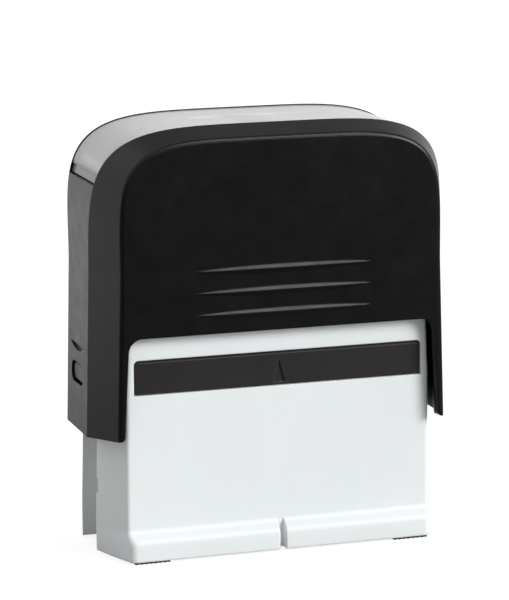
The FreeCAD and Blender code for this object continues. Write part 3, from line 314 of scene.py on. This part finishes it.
FINISHES = {
    "white_plastic": moulded(
        "white_moulding", "eff2f2", "ecefef", rough=0.36, grain=3800.0, grain_depth=0.0035 * MM,
        edge=0.55 * MM, worn_and_highlit="f1f3f4", wear_and_highlight_share=0.5, Specular_IOR_Level=0.36, Subsurface_Weight=0.04,
    ),
    "black_plastic": moulded(
        "black_moulding", "080607", "0b090a", rough=0.34, grain=4600.0, grain_depth=0.004 * MM,
        edge=0.35 * MM, worn_and_highlit="171516", wear_and_highlight_share=0.35, Specular_IOR_Level=0.3,
    ),
    # Tray: its much lighter edge colour is mostly a painted highlight along the chamfers of its front.
    "black_tray": moulded(
        "tray_moulding", "242223", "282627", rough=0.42, grain=4200.0, grain_depth=0.005 * MM,
        edge=0.2 * MM, worn_and_highlit="5a5859", wear_and_highlight_share=0.6, Specular_IOR_Level=0.35,
    ),
    "button_plastic": moulded(
        "button_moulding", "141213", "181617", rough=0.38, grain=4600.0, grain_depth=0.005 * MM,
        edge=0.2 * MM, worn_and_highlit="333132", wear_and_highlight_share=0.5,
    ),
    "yoke_plastic": moulded(
        "yoke_moulding", "1d1d1f", "222224", rough=0.42, grain=3600.0, grain_depth=0.004 * MM,
        edge=0.2 * MM, worn_and_highlit="343436", wear_and_highlight_share=0.4,
    ),
    "rotor_plastic": moulded(
        "rotor_moulding", "3c3e43", "43454a", rough=0.38, grain=3600.0, grain_depth=0.004 * MM,
        edge=0.2 * MM, worn_and_highlit="5a5c61", wear_and_highlight_share=0.4,
    ),
    "pin_plastic": moulded(
        "pin_moulding", "d8d6cd", "dfddd5", rough=0.33, grain=3600.0, grain_depth=0.003 * MM,
        edge=0.15 * MM, worn_and_highlit="ebe9e2", wear_and_highlight_share=0.4, Subsurface_Weight=0.1,
    ),
    "clear_cover": clear_plastic("clear_moulding", CARD_END),
    "card_paper": paper("card_stock"),
    "spring_steel": drawn_steel("drawn_wire"),
    "foot_rubber": rubber("foot_elastomer", "1c1b1b", "2d2b2a", 0.72),
    "pad_foam": foam("open_cell_foam", "23263a", "12131f", 0.55 * MM),
    "pad_cloth": inked_cloth("woven_ink_cloth", 0.42 * MM),
    "adhesive": film("adhesive_layer"),
    "cushion_foam": foam("cushion_cells", "c6c5c0", "9a9994", 0.28 * MM),
    "die_rubber": die_rubber("engraved_rubber", TEXT_TOP - INK_DEPTH),
}


def clothe(obj, word):
    obj.data.materials.clear()
    obj.data.materials.append(FINISHES[word])


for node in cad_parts.values():
    clothe(node, node.data.materials[0].name.split(".")[0])


# ---------------------------------------------------------------- pieces built here

def mesh_object(name, build):
    """An object at the origin whose mesh build(bm) makes, in the frame."""
    bm = bmesh.new()
    build(bm)
    bmesh.ops.recalc_face_normals(bm, faces=bm.faces)
    mesh = bpy.data.meshes.new(name)
    bm.to_mesh(mesh)
    bm.free()
    obj = bpy.data.objects.new(name, mesh)
    bpy.context.scene.collection.objects.link(obj)
    return obj


def piece(obj, word, body, node, crease=35.0):
    """Gives obj its finish and its place in the frame, instead of a CAD node."""
    for face in obj.data.polygons:
        face.use_smooth = True
    obj.data.set_sharp_from_angle(angle=math.radians(crease))
    clothe(obj, word)
    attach(obj, body)
    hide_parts(node)
    return obj


def smooth_step(value, start, end):
    share = min(1.0, max(0.0, (value - start) / (end - start)))
    return share * share * (3.0 - 2.0 * share)


def filled(marks, pitch):
    """The marks in order, with even steps of at most pitch between them."""
    marks = sorted(set(round(mark, 7) for mark in marks))
    lines = [marks[0]]
    for start, end in zip(marks, marks[1:]):
        count = max(1, math.ceil((end - start) / pitch - 1e-6))
        lines += [start + (end - start) * step / count for step in range(1, count + 1)]
    return lines


def closed_grid(bm, lines):
    """The surface of a box cut by the lines given for x, y and z, with shared corners."""
    made = {}

    def corner(index):
        if index not in made:
            made[index] = bm.verts.new([lines[axis][index[axis]] for axis in range(3)])
        return made[index]

    for axis in range(3):
        u, v = [other for other in range(3) if other != axis]
        for level in (0, len(lines[axis]) - 1):
            for i in range(len(lines[u]) - 1):
                for j in range(len(lines[v]) - 1):
                    ring = []
                    for step_u, step_v in ((0, 0), (1, 0), (1, 1), (0, 1)):
                        index = [0, 0, 0]
                        index[axis] = level
                        index[u] = i + step_u
                        index[v] = j + step_v
                        ring.append(corner(tuple(index)))
                    bm.faces.new(ring)


ROUNDING_STEPS = (0.0, 0.12, 0.4, 1.0)


def soft_block(low, high, radius, pitch, shape=None):
    """A block with rounded edges and corners. shape(point, outward) moves each point in the end."""

    def build(bm):
        lines = []
        for axis in range(3):
            near = [low[axis] + radius * share for share in ROUNDING_STEPS]
            far = [high[axis] - radius * share for share in ROUNDING_STEPS]
            lines.append(filled(near + far, pitch))
        closed_grid(bm, lines)
        for vert in bm.verts:
            core = Vector(
                [min(max(vert.co[axis], low[axis] + radius), high[axis] - radius) for axis in range(3)]
            )
            outward = (vert.co - core).normalized()
            vert.co = core + outward * radius
            if shape is not None:
                vert.co += shape(vert.co.copy(), outward)

    return build


def pores(size, depth):
    """Pits of open cells: how far a point goes in."""

    def shape(point, outward):
        near = noise.voronoi(point / size)[0]
        pit = 1.0 - smooth_step(near[0], 0.05, 0.5)
        wide = noise.noise(point / (size * 9.0))
        return -outward * depth * (pit + 0.5 * (wide + 1.0))

    return shape


def spring_coil(node, wire, turns):
    """A coil of round wire with closed, flat-ground ends."""
    low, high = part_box(node)
    radius = (high.x - low.x) / 2 - wire
    steps_per_turn = 48
    sides = 14
    steps = turns * steps_per_turn
    closed = 2.04 * wire
    sunk = 0.25 * wire

    def rise(turn):
        """How much of the open pitch the coil has at a turn."""
        return smooth_step(turn, 0.8, 1.35) * (1.0 - smooth_step(turn, turns - 1.35, turns - 0.8))

    shares = [rise((step + 0.5) / steps_per_turn) for step in range(steps)]
    free = (high.z - low.z) - 2.0 * sunk - closed * turns
    heights = [low.z + sunk]
    for share in shares:
        heights.append(heights[-1] + closed / steps_per_turn + free * share / sum(shares))

    def build(bm):
        rings = []
        for step, height in enumerate(heights):
            angle = 2.0 * math.pi * step / steps_per_turn
            outward = Vector((math.cos(angle), math.sin(angle), 0.0))
            ring = []
            for side in range(sides):
                turn = 2.0 * math.pi * side / sides
                point = outward * (radius + wire * math.cos(turn))
                point.z = min(high.z, max(low.z, height + wire * math.sin(turn)))
                ring.append(bm.verts.new(point))
            rings.append(ring)
        for ring, after in zip(rings, rings[1:]):
            for side in range(sides):
                other = (side + 1) % sides
                bm.faces.new((ring[side], ring[other], after[other], after[side]))
        bm.faces.new(rings[0])
        bm.faces.new(rings[-1])

    return build


def engraved_plate(node, relief, shoulder, bars, frame_line, margin):
    """A rubber plate with raised bars and a raised frame, whose flanks slope outwards."""
    low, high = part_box(node)
    floor = high.z - relief
    far_x, far_y = high.x - margin, high.y - margin
    near_x, near_y = far_x - frame_line, far_y - frame_line
    islands = list(bars) + [
        (-far_x, far_x, -far_y, -near_y),
        (-far_x, far_x, near_y, far_y),
        (-far_x, -near_x, -far_y, far_y),
        (near_x, far_x, -far_y, far_y),
    ]

    def height(x, y):
        best = 0.0
        for x0, x1, y0, y1 in islands:
            away = max(x0 - x, x - x1, y0 - y, y - y1, 0.0)
            best = max(best, 1.0 - away / shoulder)
        burnt = 0.04 * MM * noise.noise(Vector((x, y * 3.0, 0.0)) / (0.5 * MM))
        return floor + relief * best + burnt * (best < 0.99)

    def build(bm):
        marks_x = [low.x, high.x]
        marks_y = [low.y, high.y]
        for x0, x1, y0, y1 in islands:
            marks_x += [x0 - shoulder, x0, x1, x1 + shoulder]
            marks_y += [y0 - shoulder, y0, y1, y1 + shoulder]
        lines = [filled(marks_x, 0.35 * MM), filled(marks_y, 0.35 * MM), filled([low.z, floor], 0.3 * MM)]
        closed_grid(bm, lines)
        for vert in bm.verts:
            if vert.co.z > floor - 1e-7:
                vert.co.z = height(vert.co.x, vert.co.y)

    return build


def ribbed_foot(low, high):
    """A rubber strip with rounded edges and fine cross grooves underneath."""
    groove_pitch = 1.0 * MM
    groove_depth = 0.12 * MM
    edge = 0.16 * MM
    mesh_pitch = 0.12 * MM

    def shape(point, outward):
        across = (point.x - low.x) / groove_pitch
        groove = smooth_step(math.cos(2.0 * math.pi * across), 0.3, 0.9)
        below = 1.0 - smooth_step(point.z, low.z, (low.z + high.z) / 2)
        return Vector((0.0, 0.0, groove_depth * groove * below))

    return soft_block(low, high, edge, mesh_pitch, shape)


CLOTH_SCALE = 100.0
CLOTH_COLUMNS = 72
CLOTH_ROWS = 36
CLOTH_FRAMES = 40
CLOTH_FULLNESS = 1.012
CLOTH_UNEVENNESS = 0.004


def grid_sheet(width, depth, columns, rows, unevenness):
    """A flat sheet round the origin, very slightly uneven so that cloth hangs without a set direction."""

    def build(bm):
        grid = []
        for column in range(columns + 1):
            line = []
            for row in range(rows + 1):
                x = width * (column / columns - 0.5)
                y = depth * (row / rows - 0.5)
                uneven = unevenness * noise.noise(Vector((column * 0.37, row * 0.41, 0.5)))
                line.append(bm.verts.new((x, y, uneven)))
            grid.append(line)
        for column in range(columns):
            for row in range(rows):
                near, far = grid[column], grid[column + 1]
                bm.faces.new((near[row], far[row], far[row + 1], near[row + 1]))

    return build


def hang(sheet, border, frames):
    """Lets a sheet hang from its border by a cloth simulation, and applies the result."""
    scene = bpy.context.scene
    cloth = sheet.modifiers.new("hang", "CLOTH")
    cloth.settings.quality = 6
    cloth.settings.mass = 0.3
    cloth.settings.tension_stiffness = 30.0
    cloth.settings.compression_stiffness = 30.0
    cloth.settings.bending_stiffness = 0.8
    cloth.settings.vertex_group_mass = border.name
    cloth.settings.shrink_min = 1.0 - CLOTH_FULLNESS
    cloth.collision_settings.use_collision = False
    cloth.point_cache.frame_start = 1
    cloth.point_cache.frame_end = frames
    for number in range(1, frames + 1):
        scene.frame_set(number)
        bpy.context.view_layer.update()
    graph = bpy.context.evaluated_depsgraph_get()
    hung = bpy.data.meshes.new_from_object(sheet.evaluated_get(graph))
    sheet.modifiers.clear()
    sheet.data = hung
    scene.frame_set(1)


def hung_cloth(low, high, sag):
    """The height over (x, y) of a cloth held along its border whose deepest point hangs by sag. The
    simulation runs at CLOTH_SCALE times the real size, because it doesn't work on millimetres."""
    width = (high.x - low.x) * CLOTH_SCALE
    depth = (high.y - low.y) * CLOTH_SCALE
    build = grid_sheet(width, depth, CLOTH_COLUMNS, CLOTH_ROWS, CLOTH_UNEVENNESS)
    sheet = mesh_object("cloth_sheet", build)
    border = sheet.vertex_groups.new(name="border")
    held = [
        vert.index for vert in sheet.data.vertices
        if abs(abs(vert.co.x) - width / 2) < 1e-4 or abs(abs(vert.co.y) - depth / 2) < 1e-4
    ]
    border.add(held, 1.0, "REPLACE")
    hang(sheet, border, CLOTH_FRAMES)
    depths = [vert.co.z for vert in sheet.data.vertices]
    bpy.data.objects.remove(sheet)
    deepest = max(1e-6, -min(depths))
    heights = [low.z + drop / deepest * sag for drop in depths]

    def height_at(x, y):
        u = min(CLOTH_COLUMNS - 1e-6, max(0.0, (x - low.x) / (high.x - low.x) * CLOTH_COLUMNS))
        v = min(CLOTH_ROWS - 1e-6, max(0.0, (y - low.y) / (high.y - low.y) * CLOTH_ROWS))
        column, row = int(u), int(v)
        share_u, share_v = u - column, v - row
        near, far = [
            heights[line * (CLOTH_ROWS + 1) + row] * (1 - share_v)
            + heights[line * (CLOTH_ROWS + 1) + row + 1] * share_v
            for line in (column, column + 1)
        ]
        return near * (1 - share_u) + far * share_u

    return height_at


def pad_cloth(low, high, sag, weave_pitch, weave_depth, round_over):
    """The ink pad's cloth: hung sheet, plain weave, border rounded up over the foam's edge."""
    height_at = hung_cloth(low, high, sag)

    def build(bm):
        lines = [
            filled([low.x, high.x], weave_pitch / 4),
            filled([low.y, high.y], weave_pitch / 4),
            [low.z, high.z],
        ]
        closed_grid(bm, lines)
        for vert in bm.verts:
            x, y, z = vert.co
            if z > low.z + 1e-7:
                continue
            inside = min(x - low.x, high.x - x, y - low.y, high.y - y)
            outwards = 1.0 - min(1.0, inside / round_over)
            lift = round_over * (1.0 - math.sqrt(max(0.0, 1.0 - outwards ** 2)))
            across = math.cos(math.pi * x / weave_pitch) * math.cos(math.pi * y / weave_pitch)
            vert.co.z = height_at(x, y) + lift * 0.9 - weave_depth * across * (lift == 0.0)

    return build


def spring():
    """The coil, which gets shorter with the cap's stroke."""
    coil = mesh_object("spring_coil", spring_coil("main_spring", wire=0.6 * MM, turns=7))
    piece(coil, "spring_steel", "base", "main_spring", crease=50.0)
    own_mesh(coil)


def ink_pad():
    """The foam and the woven cloth under it."""
    foam_cells = pores(0.9 * MM, 0.12 * MM)
    low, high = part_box("ink_pad")
    foam = soft_block(low, high, radius=0.35 * MM, pitch=0.5 * MM, shape=foam_cells)
    piece(mesh_object("pad_block", foam), "pad_foam", "tray", "ink_pad")
    low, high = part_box("ink_pad_cover")
    weave = pad_cloth(
        low, high, sag=0.35 * MM, weave_pitch=0.8 * MM, weave_depth=0.05 * MM, round_over=0.45 * MM
    )
    piece(mesh_object("pad_weave", weave), "pad_cloth", "tray", "ink_pad_cover", crease=60.0)


def cushion():
    low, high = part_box("die_cushion")
    cells = pores(0.6 * MM, 0.08 * MM)
    layer = mesh_object("cushion_layer", soft_block(low, high, radius=0.12 * MM, pitch=0.5 * MM, shape=cells))
    piece(layer, "cushion_foam", "rotor", "die_cushion")


def die():
    """The rubber plate: bars of different lengths inside a frame, in place of text."""
    bar_shares = (0.55, 0.8, 0.8, 0.65)
    line_pitch = 4.2 * MM
    half_height = 1.0 * MM
    half_width = 29.5 * MM
    bars = []
    for number, share in enumerate(bar_shares):
        middle = line_pitch * ((len(bar_shares) - 1) / 2 - number)
        bars.append((-half_width * share, half_width * share, middle - half_height, middle + half_height))
    relief = engraved_plate(
        "text_plate", relief=0.7 * MM, shoulder=0.25 * MM, bars=bars, frame_line=0.8 * MM, margin=1.0 * MM
    )
    piece(mesh_object("relief_plate", relief), "die_rubber", "rotor", "text_plate", crease=30.0)


def feet():
    for corner in ("front_left", "front_right", "back_left", "back_right"):
        node = "foot_pad_" + corner
        piece(mesh_object("foot_strip_" + corner, ribbed_foot(*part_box(node))), "foot_rubber", "base", node)


spring()
ink_pad()
cushion()
die()
feet()


# ---------------------------------------------------------------- stage, light and camera

def backdrop(half_size, glow, mirrored_near, mirrored_far):
    """A pale floor. It glows for the camera, so that it is as white as its surround, and glossy
    surfaces mirror it as a darker floor, from mirrored_near in front to mirrored_far behind."""
    bm = bmesh.new()
    bmesh.ops.create_grid(bm, x_segments=2, y_segments=2, size=half_size)
    mesh = bpy.data.meshes.new("stage_floor")
    bm.to_mesh(mesh)
    bm.free()
    floor = bpy.data.objects.new("stage_floor", mesh)
    bpy.context.scene.collection.objects.link(floor)
    f = Finish("floor_paint")
    soft = f.noise(18.0, 3.0, 0.6)
    rays = f.add("ShaderNodeLightPath")
    seen = rays.outputs["Is Camera Ray"]
    mirrored = rays.outputs["Is Glossy Ray"]
    plain = f.mix(seen, "b0b0b0", f.mix(soft, "8a8a8a", "8f8f8f"))
    f.set("Base Color", f.mix(mirrored, plain, "1c1c1c"))
    f.set("Emission Color", "ffffff")
    graded = f.spread(f.axis("Y"), mirrored_near, mirrored_far, -0.1, 0.24)
    f.set("Emission Strength", f.sum(f.sum(seen, glow, "MULTIPLY"), f.sum(mirrored, graded, "MULTIPLY")))
    f.set("Roughness", 0.7)
    f.set("Specular IOR Level", 0.1)
    mesh.materials.append(f.material)


def sky(front, back, mirrored_front, mirrored_back, mirrored_left, mirrored_high):
    """Soft surround, brighter behind the object than in front of it. What glossy surfaces mirror is
    set apart: darker in front and high up, and lighter high on the left, as in a studio with one
    light tent on that side."""
    world = bpy.data.worlds.new("surround")
    world.use_nodes = True
    bpy.context.scene.world = world
    tree = world.node_tree
    ground = tree.nodes["Background"]
    ground.inputs["Color"].default_value = (1.0, 1.0, 1.0, 1.0)
    split = tree.nodes.new("ShaderNodeSeparateXYZ")
    tree.links.new(tree.nodes.new("ShaderNodeTexCoord").outputs["Generated"], split.inputs[0])

    def fade(source, start, end, low, high):
        spread = tree.nodes.new("ShaderNodeMapRange")
        spread.interpolation_type = "SMOOTHSTEP"
        for word, value in (("From Min", start), ("From Max", end), ("To Min", low), ("To Max", high)):
            if isinstance(value, bpy.types.NodeSocket):
                tree.links.new(value, spread.inputs[word])
            else:
                spread.inputs[word].default_value = value
        tree.links.new(source, spread.inputs["Value"])
        return spread.outputs["Result"]

    soft = fade(split.outputs["Y"], -0.55, 0.45, front, back)
    level = fade(split.outputs["Y"], -0.3, 0.3, mirrored_front, mirrored_back)
    above = fade(split.outputs["X"], -0.6, 0.1, mirrored_left, mirrored_high)
    mirrored = fade(split.outputs["Z"], 0.05, 0.65, level, above)
    glossy = tree.nodes.new("ShaderNodeLightPath").outputs["Is Glossy Ray"]
    tree.links.new(fade(glossy, 0.0, 1.0, soft, mirrored), ground.inputs["Strength"])


def sun(name, azimuth, elevation, strength, angle, gleam_only=False):
    """A wide soft sun. Azimuth 0 comes from the front and 90 from the right. With gleam_only it
    shows in glossy surfaces and lights nothing else."""
    light = bpy.data.lights.new(name, "SUN")
    light.energy = strength
    light.angle = math.radians(angle)
    obj = bpy.data.objects.new(name, light)
    bpy.context.scene.collection.objects.link(obj)
    a, e = math.radians(azimuth), math.radians(elevation)
    towards = Vector((math.sin(a) * math.cos(e), -math.cos(a) * math.cos(e), math.sin(e)))
    obj.rotation_mode = "QUATERNION"
    obj.rotation_quaternion = towards.to_track_quat("Z", "Y")
    obj.visible_diffuse = not gleam_only


def camera(target, distance, azimuth, elevation, roll, focal, lift):
    """focal is in image heights, lift in image heights above the axis."""
    a, e, r = math.radians(azimuth), math.radians(elevation), math.radians(roll)
    back = Vector((math.sin(a) * math.cos(e), -math.cos(a) * math.cos(e), math.sin(e)))
    right = Vector((math.cos(a), math.sin(a), 0.0))
    up = back.cross(right)
    across = right * math.cos(r) + up * math.sin(r)
    over = back.cross(across)
    data = bpy.data.cameras.new("camera")
    data.sensor_width = 36.0
    data.lens = focal * data.sensor_width
    data.shift_y = lift
    data.clip_start, data.clip_end = 0.01, 20.0
    obj = bpy.data.objects.new("camera", data)
    place = Matrix((across, over, back)).transposed().to_4x4()
    place.translation = Vector(target) + back * distance
    obj.matrix_world = place
    bpy.context.scene.collection.objects.link(obj)
    bpy.context.scene.camera = obj


backdrop(half_size=6.0, glow=0.84, mirrored_near=0.05, mirrored_far=0.95)
sky(front=0.31, back=0.94, mirrored_front=0.18, mirrored_back=0.95, mirrored_left=1.1, mirrored_high=0.32)
sun("key_light", azimuth=43.0, elevation=22.5, strength=2.75, angle=26.0)
sun("rib_gleam", azimuth=32.0, elevation=55.0, strength=0.9, angle=20.0, gleam_only=True)
camera(
    target=(-0.153 * MM, 0.0, 42.13 * MM), distance=599.5 * MM, azimuth=-17.97, elevation=12.07,
    roll=-0.343, focal=4.761, lift=0.05833333,
)

bpy.context.scene.view_settings.view_transform = "Standard"
